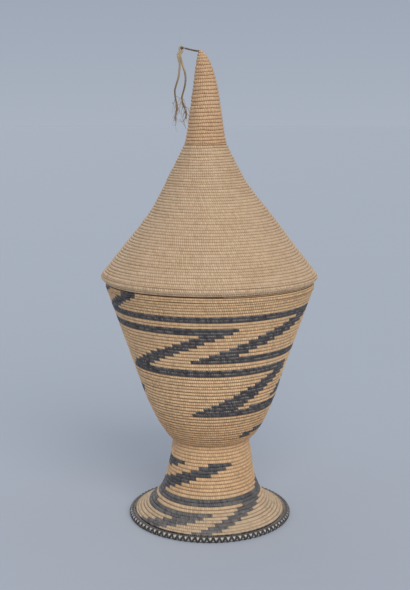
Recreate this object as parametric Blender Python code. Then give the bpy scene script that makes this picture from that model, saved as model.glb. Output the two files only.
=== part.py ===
"""A lidded basket of coiled fibre on a pedestal foot, as separate closed solids.

Metres, +Z up, with the origin at the centre of the foot's base. The foot and the bowl stand still.
The lid, with the bundle and the tassel at its tip, lifts straight up off the bowl's collar.
"""

import math

import bmesh
import bpy
from mathutils import Vector, geometry

# Shared sizes.
FLATS_ROUND = 32  # flat sides round each turned solid
SEAT_GAP = 0.0003  # gap that pieces keep where they touch
COIL = 0.0030  # thickness of a coiled wall

# Foot.
FOOT_HEIGHT = 0.0526
FOOT_NECK_RADIUS = 0.0249
FOOT_STEM_TAPER = 0.0074  # how far the stem widens on its way down, before the flare
FOOT_FLARE_POWER = 5.4  # a higher power keeps the flare nearer to the base
FOOT_RADIUS = 0.0531  # over the bound edge
BOUND_EDGE = 0.0038  # thickness of the bound edge, which the foot stands on
SKIRT_STANDS_PROUD = 0.0004  # how far the skirt's outer end stands above the bound edge
LASHING = 0.0020  # thickness of the ring of sewing under the bowl

# Bowl.
BOWL_HEIGHT = 0.1032  # from the foot's top to the top of the rim coil
BOWL_HEEL_RADIUS = 0.0250
BELLY_RADIUS = 0.0451
BELLY_HEIGHT = 0.0381  # above the foot's top
BELLY_HEEL_REACH = 0.0078  # how far the wall runs outwards from the heel before it turns up
BELLY_HEEL_RISE = 0.0027
BELLY_SHOULDER_REACH = 0.0018  # how far inside the belly the wall's curve aims, and how far below it
BELLY_SHOULDER_DROP = 0.0075
BOWL_MOUTH_RADIUS = 0.0668  # over the rim coil
RIM_INSET = 0.0004  # how far the wall's top edge lies inside the rim coil's outer side
COLLAR_WALL = 0.0026
COLLAR_HEIGHT = 0.0060  # above the rim coil
COLLAR_DEPTH = 0.0065  # below the wall's top edge, where the collar follows the wall's slope
COLLAR_CLEARANCE = 0.0009  # between the collar and the lid's lip, all round

# Lid.
LIP_INSET = 0.0001  # how far inside the bowl's mouth the lip's bottom lies
LIP_HEIGHT = 0.0050
LIP_STANDS_PROUD = 0.0002  # how far the lip's top lies outside the cone's bottom
LIP_SHOULDER_REACH = 0.0013  # how far outside its top the lip's curve aims
LIP_SHOULDER_HEIGHT = 0.0020
LID_OVERHANG = 0.0020  # how far the cone's bottom reaches beyond the bowl's mouth
CONE_HEIGHT = 0.0813
CONE_BEND_RADIUS = 0.0297  # where the cone's two straight stretches would meet
CONE_BEND_HEIGHT = 0.0493
SPIRE_HEIGHT = 0.0559
SPIRE_BASE_RADIUS = 0.0137
SPIRE_NECK_RADIUS = 0.0106
SPIRE_NECK_HEIGHT = 0.0043
SPIRE_SHOULDER_RADIUS = 0.0084
SPIRE_SHOULDER_DROP = 0.0082
SPIRE_TIP_RADIUS = 0.0016

# The lid leans to the left, in a slow bend along the cone and a quicker one along the spire.
CONE_LEAN = 0.0028
CONE_LEAN_START = 0.0330  # heights above the cone's bottom
CONE_LEAN_END = 0.0660
TIP_LEAN = 0.0026
TIP_LEAN_START = 0.1000

# Starting bundle and tassel.
BUNDLE_RADIUS = 0.00065
BUNDLE_DEPTH = 0.0085  # how far the bundle reaches down into the spire
KNOT_WIDTH = 0.0029
KNOT_DEPTH = 0.0024
KNOT_HEIGHT = 0.0029
STRAND_RADIUS = 0.0005
RIGHT_STRAND_DROP = 0.0001  # how much lower the right strand starts than the left one

# The bundle's route outside the spire, from the middle of the spire's tip: right, back, up.
BUNDLE_ROUTE = (
    (-0.00015, 0.0000, 0.00055),
    (-0.00075, 0.0000, 0.00105),
    (-0.00180, 0.0001, 0.00120),
    (-0.00380, 0.0001, 0.00135),
    (-0.00680, 0.0000, 0.00200),
    (-0.01050, 0.0000, 0.00290),
)

# The strands' routes down from the middle of the knot's underside: right, back, up.
LEFT_STRAND_ROUTE = (
    (-0.0008, 0.0000, 0.0000),
    (-0.0024, -0.0001, -0.0020),
    (-0.0019, -0.0002, -0.0048),
    (-0.0012, -0.0004, -0.0077),
    (-0.0014, -0.0007, -0.0113),
    (-0.0020, -0.0011, -0.0159),
    (-0.0033, -0.0013, -0.0202),
    (-0.0043, -0.0012, -0.0241),
    (-0.0040, -0.0009, -0.0284),
    (-0.0031, -0.0008, -0.0331),
    (-0.0035, -0.0010, -0.0373),
    (-0.0040, -0.0014, -0.0425),
)
RIGHT_STRAND_ROUTE = (
    (0.0006, 0.0000, 0.0000),
    (-0.0009, 0.0000, -0.0020),
    (-0.0004, 0.0001, -0.0048),
    (0.0003, 0.0003, -0.0077),
    (0.0010, 0.0006, -0.0099),
    (0.0021, 0.0009, -0.0137),
    (0.0023, 0.0012, -0.0180),
    (0.0016, 0.0013, -0.0222),
    (0.0003, 0.0011, -0.0269),
    (0.0001, 0.0010, -0.0293),
    (0.0012, 0.0011, -0.0335),
    (0.0024, 0.0012, -0.0371),
    (0.0026, 0.0014, -0.0412),
)

# Sizes and heights that follow from the sizes above.
LIP_RADIUS = BOWL_MOUTH_RADIUS - LIP_INSET
CONE_RADIUS = BOWL_MOUTH_RADIUS + LID_OVERHANG
LIP_TOP_RADIUS = CONE_RADIUS + LIP_STANDS_PROUD
LIP_SHOULDER_RADIUS = LIP_TOP_RADIUS + LIP_SHOULDER_REACH
BOWL_BOTTOM = FOOT_HEIGHT + SEAT_GAP
BOWL_TOP = FOOT_HEIGHT + SEAT_GAP + BOWL_HEIGHT
WALL_TOP = BOWL_TOP - COIL - SEAT_GAP
LID_BOTTOM = BOWL_TOP + SEAT_GAP
CONE_BOTTOM = LID_BOTTOM + LIP_HEIGHT + SEAT_GAP
SPIRE_BOTTOM = CONE_BOTTOM + CONE_HEIGHT + SEAT_GAP
SPIRE_TOP = SPIRE_BOTTOM + SPIRE_HEIGHT

# Colours, linear red, green and blue.
STRAW = (0.52, 0.37, 0.20)
WARM_STRAW = (0.56, 0.36, 0.17)
CHARCOAL = (0.045, 0.042, 0.050)
STEM_BROWN = (0.10, 0.075, 0.055)
STRING_BEIGE = (0.34, 0.28, 0.17)


def clear_scene():
    """Removes every object that the scene starts with."""
    for old in list(bpy.data.objects):
        bpy.data.objects.remove(old, do_unlink=True)


def fibre_material(name, colour, roughness):
    material = bpy.data.materials.new(name)
    material.use_nodes = True
    shader = material.node_tree.nodes["Principled BSDF"]
    shader.inputs["Base Color"].default_value = (*colour, 1.0)
    shader.inputs["Roughness"].default_value = roughness
    shader.inputs["Metallic"].default_value = 0.0
    return material


def upright(height):
    """The axis of a piece that doesn't lean."""
    return 0.0


def lid_lean(height):
    """How far to the right of the basket's axis the lid's own axis lies at a height."""
    above = height - CONE_BOTTOM
    bend = min(max((above - CONE_LEAN_START) / (CONE_LEAN_END - CONE_LEAN_START), 0.0), 1.0)
    slow = CONE_LEAN * bend * bend * (3.0 - 2.0 * bend)
    spire_length = SPIRE_TOP - CONE_BOTTOM - TIP_LEAN_START
    quick = TIP_LEAN * (max(above - TIP_LEAN_START, 0.0) / spire_length) ** 2
    return -slow - quick


def bezier(start, start_handle, end_handle, end, count):
    """Points of one cubic curve in the plane of radius and height."""
    corners = [Vector((radius, height, 0.0)) for radius, height in (start, start_handle, end_handle, end)]
    return [(point.x, point.y) for point in geometry.interpolate_bezier(*corners, count)]


def run_lengths(points):
    """The distance along a line of points, at each of them."""
    lengths = [0.0]
    for before, after in zip(points, points[1:]):
        lengths.append(lengths[-1] + math.dist(before, after))
    return lengths


def point_at(points, lengths, distance):
    """The point that lies a distance along a line of points."""
    for index in range(1, len(points)):
        if lengths[index] >= distance or index == len(points) - 1:
            share = (distance - lengths[index - 1]) / (lengths[index] - lengths[index - 1])
            before = Vector(points[index - 1])
            return tuple(before.lerp(Vector(points[index]), share))


def stretch_of(points, start, end, count):
    """Evenly spaced points on the stretch of a line between two distances along it."""
    lengths = run_lengths(points)
    return [point_at(points, lengths, start + (end - start) * step / (count - 1)) for step in range(count)]


def inward_offset(points, index, thickness):
    """The point a wall's thickness inside an outline that runs from top to bottom."""
    before = Vector(points[max(index - 1, 0)])
    after = Vector(points[min(index + 1, len(points) - 1)])
    along = (after - before).normalized()
    return (points[index][0] + along.y * thickness, points[index][1] - along.x * thickness)


def level_offset(points, index, neighbour, thickness):
    """The inner point at an end of an outline where the wall is cut level, at the same height."""
    across = points[neighbour][0] - points[index][0]
    rise = points[neighbour][1] - points[index][1]
    return (points[index][0] - thickness * math.hypot(across, rise) / abs(rise), points[index][1])


def plumb_offset(points, index, neighbour, thickness):
    """The inner point at an end of an outline where the wall is cut upright, at the same radius."""
    across = points[neighbour][0] - points[index][0]
    rise = points[neighbour][1] - points[index][1]
    return (points[index][0], points[index][1] - thickness * math.hypot(across, rise) / abs(across))


def wall_section(outline, thickness, top_cut=level_offset, bottom_cut=level_offset):
    """A closed section from an outer outline that runs from top to bottom. A cut of None is square."""
    inner = [inward_offset(outline, index, thickness) for index in range(len(outline))]
    last = len(outline) - 1
    if top_cut:
        inner[0] = top_cut(outline, 0, 1, thickness)
    if bottom_cut:
        inner[last] = bottom_cut(outline, last, last - 1, thickness)
    return outline + inner[::-1]


def coil_section(centre_radius, centre_height, thickness):
    """A round section with eight sides and a flat top and bottom."""
    corner_angle = math.pi / 8
    reach = thickness / 2 / math.cos(corner_angle)
    section = []
    for corner in range(8):
        angle = corner_angle + corner * math.pi / 4
        section.append((centre_radius + reach * math.cos(angle), centre_height + reach * math.sin(angle)))
    return section


def finish_mesh(name, built, material):
    """Makes an object of a built mesh, smooth apart from its sharp edges."""
    bmesh.ops.recalc_face_normals(built, faces=built.faces)
    mesh = bpy.data.meshes.new(name)
    built.to_mesh(mesh)
    built.free()
    mesh.shade_smooth()
    mesh.set_sharp_from_angle(angle=math.radians(35))
    mesh.materials.append(material)
    piece = bpy.data.objects.new(name, mesh)
    bpy.context.scene.collection.objects.link(piece)
    return piece


def turned_piece(name, section, material, axis_at=upright, closed=True):
    """One solid made by turning a section about the vertical axis.

    A closed section makes a ring. An open one runs from the top to the bottom, and flat discs close its ends.
    """
    built = bmesh.new()
    rings = []
    for radius, height in section:
        ring = []
        for flat in range(FLATS_ROUND):
            angle = 2 * math.pi * flat / FLATS_ROUND
            across = axis_at(height) + radius * math.cos(angle)
            ring.append(built.verts.new((across, radius * math.sin(angle), height)))
        rings.append(ring)
    pairs = list(zip(rings, rings[1:]))
    if closed:
        pairs.append((rings[-1], rings[0]))
    else:
        built.faces.new(rings[0])
        built.faces.new(rings[-1])
    for upper, lower in pairs:
        for flat in range(FLATS_ROUND):
            after = (flat + 1) % FLATS_ROUND
            built.faces.new((upper[flat], upper[after], lower[after], lower[flat]))
    return finish_mesh(name, built, material)


def smooth_route(route, spacing):
    """Evenly spaced points on a smooth curve through a route's own points."""
    route = [Vector(point) for point in route]
    ends = [2 * route[0] - route[1]] + route + [2 * route[-1] - route[-2]]
    dense = []
    for before, start, end, after in zip(ends, ends[1:], ends[2:], ends[3:]):
        start_handle = start + (end - before) / 6
        end_handle = end - (after - start) / 6
        dense += geometry.interpolate_bezier(start, start_handle, end_handle, end, 12)[:-1]
    dense.append(route[-1])
    length = run_lengths(dense)[-1]
    return stretch_of(dense, 0.0, length, round(length / spacing) + 1)


def cord_piece(name, points, radius, material):
    """A tube along a line of points, with closed ends."""
    curve = bpy.data.curves.new(name, "CURVE")
    curve.dimensions = "3D"
    curve.bevel_depth = radius
    curve.bevel_resolution = 2
    curve.use_fill_caps = True
    spline = curve.splines.new("POLY")
    spline.points.add(len(points) - 1)
    for spot, place in zip(spline.points, points):
        spot.co = (*place, 1.0)
    curve.materials.append(material)
    piece = bpy.data.objects.new(name, curve)
    bpy.context.scene.collection.objects.link(piece)
    return piece


def skirt_outline():
    """The foot's outer side, from its top down to the inner side of the bound edge."""
    end_radius = FOOT_RADIUS - BOUND_EDGE - SEAT_GAP
    end_height = BOUND_EDGE + SKIRT_STANDS_PROUD
    flare = end_radius - FOOT_NECK_RADIUS - FOOT_STEM_TAPER
    points = []
    steps = 80
    for step in range(steps + 1):
        share = step / steps
        radius = FOOT_NECK_RADIUS + FOOT_STEM_TAPER * share + flare * share**FOOT_FLARE_POWER
        points.append((radius, FOOT_HEIGHT - share * (FOOT_HEIGHT - end_height)))
    return points


def make_foot(natural, dark):
    """The coiled skirt, the dark bound edge and the sewing under the bowl."""
    outline = skirt_outline()
    skirt_points = stretch_of(outline, 0.0, run_lengths(outline)[-1], 15)
    skirt = wall_section(skirt_points, COIL, bottom_cut=plumb_offset)

    bound = coil_section(FOOT_RADIUS - BOUND_EDGE / 2, BOUND_EDGE / 2, BOUND_EDGE)

    neck_inside = level_offset(outline, 0, 1, COIL)[0]
    lashing_radius = neck_inside - SEAT_GAP - LASHING / 2
    lashing = coil_section(lashing_radius, FOOT_HEIGHT - LASHING / 2, LASHING)

    turned_piece("foot_skirt", skirt, natural)
    turned_piece("foot_bound_edge", bound, dark)
    turned_piece("foot_lashing", lashing, natural)
    return neck_inside


def bowl_outline():
    """The bowl wall's outer side, from under the rim coil down to the heel."""
    top = (BOWL_MOUTH_RADIUS - RIM_INSET, WALL_TOP)
    belly = (BELLY_RADIUS, FOOT_HEIGHT + BELLY_HEIGHT)
    heel = (BOWL_HEEL_RADIUS, BOWL_BOTTOM)
    shoulder = (belly[0] - BELLY_SHOULDER_REACH, belly[1] - BELLY_SHOULDER_DROP)
    heel_turn = (heel[0] + BELLY_HEEL_REACH, heel[1] + BELLY_HEEL_RISE)
    return [top] + bezier(belly, shoulder, heel_turn, heel, 5)


def make_bowl(natural, heel_inside):
    """The floor, the wall, the rim coil that the lid sits on and the collar that centres it."""
    floor_radius = heel_inside - SEAT_GAP
    floor_top = BOWL_BOTTOM + COIL
    chamfer = COIL / 4
    floor = [
        (floor_radius - chamfer, floor_top),
        (floor_radius, floor_top - chamfer),
        (floor_radius, BOWL_BOTTOM + chamfer),
        (floor_radius - chamfer, BOWL_BOTTOM),
    ]

    outline = bowl_outline()
    wall = wall_section(outline, COIL, bottom_cut=None)
    heel = len(outline)
    wall[heel:heel + 1] = [(heel_inside, BOWL_BOTTOM), (heel_inside, floor_top)]

    rim = coil_section(BOWL_MOUTH_RADIUS - COIL / 2, BOWL_TOP - COIL / 2, COIL)

    collar_radius = LIP_RADIUS - COIL - COLLAR_CLEARANCE
    beside_wall = level_offset(outline, 0, 1, COIL)[0] - SEAT_GAP
    slope = (outline[0][0] - outline[1][0]) / (outline[0][1] - outline[1][1])
    bend_drop = max(beside_wall - collar_radius, 0.0) / slope + SEAT_GAP
    collar_outline = [
        (collar_radius, BOWL_TOP + COLLAR_HEIGHT),
        (collar_radius, WALL_TOP - bend_drop),
        (collar_radius - slope * (COLLAR_DEPTH - bend_drop), WALL_TOP - COLLAR_DEPTH),
    ]
    collar = collar_outline + [(radius - COLLAR_WALL, height) for radius, height in collar_outline[::-1]]

    turned_piece("bowl_floor", floor, natural, closed=False)
    turned_piece("bowl_wall", wall, natural)
    turned_piece("bowl_rim_coil", rim, natural)
    turned_piece("bowl_collar", collar, natural)


def make_lid(natural):
    """The turned-under lip, the cone and the spire, which leans."""
    lip_top = LID_BOTTOM + LIP_HEIGHT
    lip_outline = bezier(
        (LIP_TOP_RADIUS, lip_top),
        (LIP_SHOULDER_RADIUS, LID_BOTTOM + LIP_SHOULDER_HEIGHT),
        (LIP_RADIUS, LID_BOTTOM + LIP_SHOULDER_HEIGHT),
        (LIP_RADIUS, LID_BOTTOM),
        6,
    )
    lip = lip_outline + [(radius - COIL, height) for radius, height in lip_outline[::-1]]

    bend = (CONE_BEND_RADIUS, CONE_BOTTOM + CONE_BEND_HEIGHT)
    cone_top = (SPIRE_BASE_RADIUS, CONE_BOTTOM + CONE_HEIGHT)
    cone = wall_section(bezier(cone_top, bend, bend, (CONE_RADIUS, CONE_BOTTOM), 11), COIL)

    spire_outline = bezier(
        (SPIRE_TIP_RADIUS, SPIRE_TOP),
        (SPIRE_SHOULDER_RADIUS, SPIRE_TOP - SPIRE_SHOULDER_DROP),
        (SPIRE_NECK_RADIUS, SPIRE_BOTTOM + SPIRE_NECK_HEIGHT),
        (SPIRE_BASE_RADIUS, SPIRE_BOTTOM),
        10,
    )
    bore = BUNDLE_RADIUS + SEAT_GAP
    cavity = [inward_offset(spire_outline, index, COIL) for index in range(len(spire_outline))]
    cavity[-1] = level_offset(spire_outline, len(spire_outline) - 1, len(spire_outline) - 2, COIL)
    cavity = [(bore, SPIRE_TOP)] + [(max(radius, bore), height) for radius, height in cavity[2:]]
    spire = spire_outline + cavity[::-1]

    return [
        turned_piece("lid_lip", lip, natural),
        turned_piece("lid_cone", cone, natural, lid_lean),
        turned_piece("lid_spire", spire, natural, lid_lean),
    ]


def make_tassel(stem, string):
    """The starting bundle's end, the knot on it and the two strands that hang from the knot."""
    tip = Vector((lid_lean(SPIRE_TOP), 0.0, SPIRE_TOP))
    inside = []
    steps = 4
    for step in range(steps):
        height = SPIRE_TOP - BUNDLE_DEPTH * (1 - step / steps)
        inside.append(Vector((lid_lean(height), 0.0, height)))
    outside = [tip + Vector(point) for point in BUNDLE_ROUTE]
    bundle_points = smooth_route(inside + [tip] + outside, BUNDLE_RADIUS * 2)
    bundle = cord_piece("starting_bundle", bundle_points, BUNDLE_RADIUS, stem)

    bundle_end = outside[-1]
    knot_middle = bundle_end + Vector((-SEAT_GAP - KNOT_WIDTH / 2, 0.0, 0.0))
    built = bmesh.new()
    bmesh.ops.create_uvsphere(built, u_segments=12, v_segments=8, radius=0.5)
    bmesh.ops.scale(built, vec=(KNOT_WIDTH, KNOT_DEPTH, KNOT_HEIGHT), verts=built.verts)
    bmesh.ops.translate(built, vec=knot_middle, verts=built.verts)
    knot = finish_mesh("tassel_knot", built, string)

    under_knot = knot_middle + Vector((0.0, 0.0, -KNOT_HEIGHT / 2 - SEAT_GAP))
    spacing = STRAND_RADIUS * 5
    left = smooth_route([under_knot + Vector(point) for point in LEFT_STRAND_ROUTE], spacing)
    lower = under_knot - Vector((0.0, 0.0, RIGHT_STRAND_DROP))
    right = smooth_route([lower + Vector(point) for point in RIGHT_STRAND_ROUTE], spacing)
    return [
        bundle,
        knot,
        cord_piece("tassel_strand_left", left, STRAND_RADIUS, string),
        cord_piece("tassel_strand_right", right, STRAND_RADIUS, string),
    ]


def hang_on_axis(pieces):
    """Parents the lid's pieces to an empty on the line along which the lid lifts."""
    axis = bpy.data.objects.new("lid_lift_axis", None)
    axis.location = (0.0, 0.0, LID_BOTTOM)
    bpy.context.scene.collection.objects.link(axis)
    for piece in pieces:
        piece.parent = axis
        piece.location = (0.0, 0.0, -LID_BOTTOM)


def main():
    clear_scene()
    straw = fibre_material("straw", STRAW, 0.75)
    warm_straw = fibre_material("warm_straw", WARM_STRAW, 0.72)
    charcoal = fibre_material("charcoal_strip", CHARCOAL, 0.65)
    stem = fibre_material("stem_fibre", STEM_BROWN, 0.70)
    string = fibre_material("string", STRING_BEIGE, 0.80)
    heel_inside = make_foot(warm_straw, charcoal)
    make_bowl(straw, heel_inside)
    hang_on_axis(make_lid(straw) + make_tassel(stem, string))


main()
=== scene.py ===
"""Looks of a lidded coiled basket on a pedestal foot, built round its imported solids.

Metres, +Z up. Every wall is a long coil, wound from the top down and wrapped stitch by stitch.
Angles round the basket are 0 at the front and grow to the right, so a coil runs to the left as it goes down.
"""

import math

import bpy
import numpy as np
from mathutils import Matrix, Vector, geometry


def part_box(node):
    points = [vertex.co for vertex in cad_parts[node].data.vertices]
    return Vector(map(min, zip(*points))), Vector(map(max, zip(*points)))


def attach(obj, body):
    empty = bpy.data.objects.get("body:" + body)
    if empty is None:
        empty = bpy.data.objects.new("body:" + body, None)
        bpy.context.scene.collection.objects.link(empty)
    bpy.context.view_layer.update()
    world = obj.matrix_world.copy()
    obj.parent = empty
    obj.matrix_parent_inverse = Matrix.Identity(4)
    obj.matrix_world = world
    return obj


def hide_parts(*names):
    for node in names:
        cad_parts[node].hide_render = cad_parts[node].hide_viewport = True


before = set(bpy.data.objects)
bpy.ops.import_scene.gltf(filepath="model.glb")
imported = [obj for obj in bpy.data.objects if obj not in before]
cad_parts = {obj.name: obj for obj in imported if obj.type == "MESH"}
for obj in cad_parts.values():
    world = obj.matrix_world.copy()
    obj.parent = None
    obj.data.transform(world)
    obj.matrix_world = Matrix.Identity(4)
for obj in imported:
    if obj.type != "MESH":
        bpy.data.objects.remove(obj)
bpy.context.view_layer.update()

# Camera, as the photograph was taken.
PHOTO_HEIGHT_PX = 590
FOCAL_LENGTH_PX = 1015.87
SENSOR = 36.0
CAMERA_PLACE = (-0.00318, -0.6462, 0.25714)
CAMERA_PITCH_DOWN = math.radians(9.68)

# Coils and stitches.
STITCH = 0.0013  # width of one wrap of the sewing strip
STITCH_SPOTS = np.array((0.0, 0.27, 0.73))  # where a stitch's surface is given: its valley and two shoulders
STITCH_VALLEY = 0.00024  # how deep the valley between two stitches is
STITCH_SLANT = 0.0003  # how far a stitch leans along the coil, from its middle to its edge
STITCH_JITTER = 0.09  # how far the line between two stitches strays, as a share of a stitch
STITCH_UNEVENNESS = 0.000035
FIBRES_PER_STITCH = 7.0
COIL_UNEVENNESS = 0.00009  # how far a stretch of coil stands proud of its neighbours
COIL_CHANGES = 5  # how many such stretches a turn has
ROUNDNESS = 0.7  # 1 is an ellipse, and less is fuller at the corners
ROW_UNEVENNESS = 0.00013  # how far the groove between two rows wanders
SPIRE_ROW_UNEVENNESS = 0.0002
ROW_CHANGES = 11  # how often the groove turns in a round
COIL_OVERLAP = 0.00006  # how far a coil presses into the next one
COIL_END = 0.03  # the share of a turn left out at either end, where a row has next to no width
STEPS_PER_TURN = 360
TAPER_WIDTH = 0.7 * STITCH  # where a row is narrower than this, the coil gets thinner
TAPER_LEAST = 0.25
SLANT_LEAST_RADIUS = 0.004  # nearer the axis than this, the stitches lean no more than here
LEAST_RADIUS = 0.00005
SECTION_ANGLES = (-158, -108, -76, -46, -15, 15, 46, 76, 108, 158)  # 0 faces out of the wall
LOWER_SIDES = slice(6, 9)  # the sides of that section that face the next row down

# Rows: their width in millimetres, and the turn of the coil that starts at the wall's top.
FOOT_ROW = 2.238
FOOT_FIRST_TURN = -0.948
BOWL_FIRST_TURN = 0.11
BOWL_FLOOR_ROW = 2.2
RIM_ROW = 1.65
RIM_FIRST_TURN = -1.89
COLLAR_ROW = 2.1
LIP_ROW = 2.0

# Sizes of the walls, as the solids have them. A handle is a point that a curve bends towards.
WALL = 0.003
COLLAR_WALL = 0.0026
LIP_WALL = 0.0024
SPIRE_LEAST_WALL = 0.0004
EDGE_GAP = 0.0003
FOOT_NECK_RADIUS = 0.0249
FOOT_STEM_TAPER = 0.0074
FOOT_FLARE_POWER = 5.4
SKIRT_STANDS_PROUD = 0.0004
BELLY_RADIUS = 0.0451
BELLY_HEIGHT = 0.0381
BELLY_HANDLE = (0.0018, 0.0075)  # how far inside the belly and how far below it
HEEL_HANDLE = (0.0328, 0.0027)  # radius, and height above the wall's foot
BOWL_FOOT_RADIUS = 0.025
COLLAR_STRAIGHT = 0.01  # how far down the collar runs straight before it slopes
COLLAR_SLOPE = 0.34
LIP_TOP_RADIUS = 0.069
LIP_HANDLE_RADIUS = 0.0703
LIP_BOTTOM_RADIUS = 0.0667
LIP_SHOULDER_HEIGHT = 0.002
CONE_BEND_RADIUS = 0.0297
CONE_BEND_HEIGHT = 0.0493
CONE_BOTTOM_RADIUS = 0.0688
SPIRE_FOOT_RADIUS = 0.0137
SPIRE_FOOT_HANDLE = (0.0106, 0.0043)  # radius, and height above the spire's foot
SPIRE_TIP_HANDLE = (0.0086, 0.0056)  # radius, and depth below the tip
SPIRE_TIP_RADIUS = 0.0004
SPIRE_DOME = 0.0018  # how far the wound tip stands above the solid's flat one
SPIRE_BORE_RADIUS = 0.00095
DIRECTION_SPAN = 0.001  # the length over which a wall's direction is taken

# The lid's lean to the left.
CONE_LEAN = 0.0028
CONE_LEAN_START = 0.033
CONE_LEAN_END = 0.066
TIP_LEAN = 0.0026
TIP_LEAN_START = 0.1
TIP_LEAN_POWER = 3.5
LID_SHIFT = 0.0004  # how far to the left the lid sits on the bowl
LID_SHIFT_TOP = 0.02
LID_SHIFT_FADE = 0.014

# The neck lies slightly to the right of the foot's edge and the bowl's mouth.
NECK_LEAN = 0.0009
NECK_LEAN_TOP = 0.105

# Tassel. Its routes are in millimetres, from the spire's tip and from the knot's underside.
BUNDLE_DEPTH = 0.0085
BUNDLE_WIRES = 4
BUNDLE_WIRE_RADIUS = 0.00025
BUNDLE_TWIST = 160.0  # turns in a metre
PLY_OFFSET = 0.0003  # from a twisted cord's middle to each of its plies
KNOT_WIDTH = 0.0029
KNOT_HEIGHT = 0.0029
KNOT_TURNS = 3.3
KNOT_WINDING_RADIUS = 0.0003
KNOT_LOOP_RADIUS = 0.00046
CORD_STITCH = 0.001  # the length of a cord that its material takes for a stitch
STRAND_PLY_RADIUS = 0.0004
STRAND_TWIST = 560.0
RIGHT_STRAND_DROP = 0.0001
FRAYED_HAIRS = 17
HAIR_LENGTHS = (0.004, 0.0095)
HAIR_RADII = (0.00016, 0.00007)  # where a hair starts, and at its end
HAIR_POINTS = 14
BUNDLE_ROUTE = (
    (-0.15, 0, 0.55), (-0.75, 0, 1.05), (-1.8, 0.1, 1.2), (-3.8, 0.1, 1.35), (-6.8, 0, 2),
    (-10.5, 0, 2.9),
)
LEFT_STRAND_ROUTE = (
    (-0.8, 0, 0), (-2.4, -0.1, -2), (-1.9, -0.2, -4.8), (-1.2, -0.4, -7.7), (-1.4, -0.7, -11.3),
    (-2, -1.1, -15.9), (-3.3, -1.3, -20.2), (-4.3, -1.2, -24.1), (-4, -0.9, -28.4), (-3.1, -0.8, -33.1),
    (-3.5, -1, -37.3), (-4, -1.4, -42.5),
)
RIGHT_STRAND_ROUTE = (
    (0.6, 0, 0), (-0.9, 0, -2), (-0.4, 0.1, -4.8), (0.3, 0.3, -7.7), (1, 0.6, -9.9), (2.1, 0.9, -13.7),
    (2.3, 1.2, -18), (1.6, 1.3, -22.2), (0.3, 1.1, -26.9), (0.1, 1, -29.3), (1.2, 1.1, -33.5),
    (2.4, 1.2, -37.1), (2.6, 1.4, -41.2),
)

# Dyed stripes of the zigzag, row by row. Each line gives the first row, how many rows, the left end in
# degrees and its step from row to row, and the right end in degrees and its step.
BOWL_STRIPES = (
    (-2, 2, -55, 0, -43, 0),
    (-2, 2, -87, -4.5, -69, -4.5),
    (0, 5, -60, -4.5, -47, -4),
    (0, 9, -96, -4.5, -78, -4.5),
    (5, 2, -84, 0, 80, 0),
    (7, 11, 58.5, -5.9, 80.5, -6.2),
    (9, 2, -138, -7, 16.5, -3.5),
    (11, 11, -7, -5.7, 7.5, -5.35),
    (18, 2, -7, -6.5, 153, 0),
    (20, 11, 112, -4.4, 134, -4.4),
    (22, 2, -68, -4, 69.5, -1),
    (24, 11, 53, -5.9, 69.5, -4.6),
    (31, 2, 65, -6, 291.5, -3),
    (33, 11, 266, -8, 284, -8),
    (34, 1, 34, 0, 150, 0),
    (35, 2, -13, -3.5, 150, 0),
    (37, 7, 144, -13, 164, -13),
    (43, 2, 51, -14, 170, 0),
    (45, 1, 35, 0, 51, 0),
    (44, 2, 185, 0, 270, 0),
)
FOOT_STRIPES = (
    (4, 3, -110, -6, -39.5, -14.5),
    (4, 4, -3.5, -12.8, 29.5, -9.5),
    (8, 6, -54.7, -12.8, -19.5, -10),
    (4, 10, 150, -9, 185, -9),
    (14, 2, -100, 0, 260, 0),
    (16, 4, 35.8, -6.2, 67.5, -10.2),
    (20, 6, 11, -6.2, 28.8, -6.8),
    (16, 10, 180, -6, 212, -7),
    (17, 1, -120, 0, -73, 0),
    (18, 2, -120, 0, 1.5, -8),
    (20, 6, -37.3, -7.2, -13.6, -7.1),
)

# Bound edge of the foot.
EDGE_CHEVRONS = 87
EDGE_JITTER = 0.03  # how far a leg of a chevron strays, as a share of a chevron
EDGE_STRIP_WIDTH = 0.00145
EDGE_STRIP_THICKNESS = 0.0005
EDGE_STRIP_SIDES = 6
EDGE_CROSSING = 0.00012  # how far one leg lies over the other
EDGE_SIDES = 24  # sides round the edge's coil, from the one just above its outermost line
EDGE_CREAM_SIDES = [23, 0, 1, 2, 3]  # the sides that the cream strips show on
EDGE_UNDER_SIDES = slice(14, 23)  # the sides below them, which are black: the black lashing, and painted shade under the edge
EDGE_STRIP_TOP = math.radians(60)  # angles round the edge's coil, 0 outwards and 90 at its top
EDGE_STRIP_BOTTOM = math.radians(-50)

# Colours, linear red, green and blue.
LID_STRAW = (0.632, 0.428, 0.254)
BOWL_STRAW = (0.649, 0.412, 0.218)
SPIRE_STRAW = (0.66, 0.405, 0.218)
FOOT_STRAW = (0.655, 0.405, 0.212)
STRAW_LIGHTER = (1.2, 1.3, 1.42)  # of the lightest strips
STRAW_DARKER = (0.68, 0.62, 0.54)
# soil and painted shade in the grooves of the straw and the cream
GROOVE_BROWN = (0.17, 0.082, 0.034)
CHARCOAL = (0.04, 0.034, 0.034)
CHARCOAL_LIGHT = (0.12, 0.11, 0.114)
CHARCOAL_DARK = (0.018, 0.017, 0.021)
# soil and painted shade in the grooves of the dyed strips
CHARCOAL_GROOVE = (0.012, 0.011, 0.012)
STRAW_INSIDE = (0.66, 0.56, 0.43)
FADED = (0.098, 0.089, 0.088)
FADED_LIGHT = (0.215, 0.2, 0.195)
BOWL_MIDDLE_TONE = (1.17, 1.17, 1.19)  # what the strips are multiplied by half-way down the bowl,
BOWL_FOOT_TONE = (0.85, 0.807, 0.755)  # low on the bowl,
FOOT_FLARE_TONE = (0.87, 1.00, 1.18)  # on the foot's flare, as a painted bluish cast of the light from above,
FOOT_STEM_TONE = (0.6, 0.62, 0.65)  # and, in the faded bands, on the foot's stem
EDGE_DARK = (0.31, 0.265, 0.23)
EDGE_DARK_LIGHT = (0.46, 0.41, 0.365)
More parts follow.
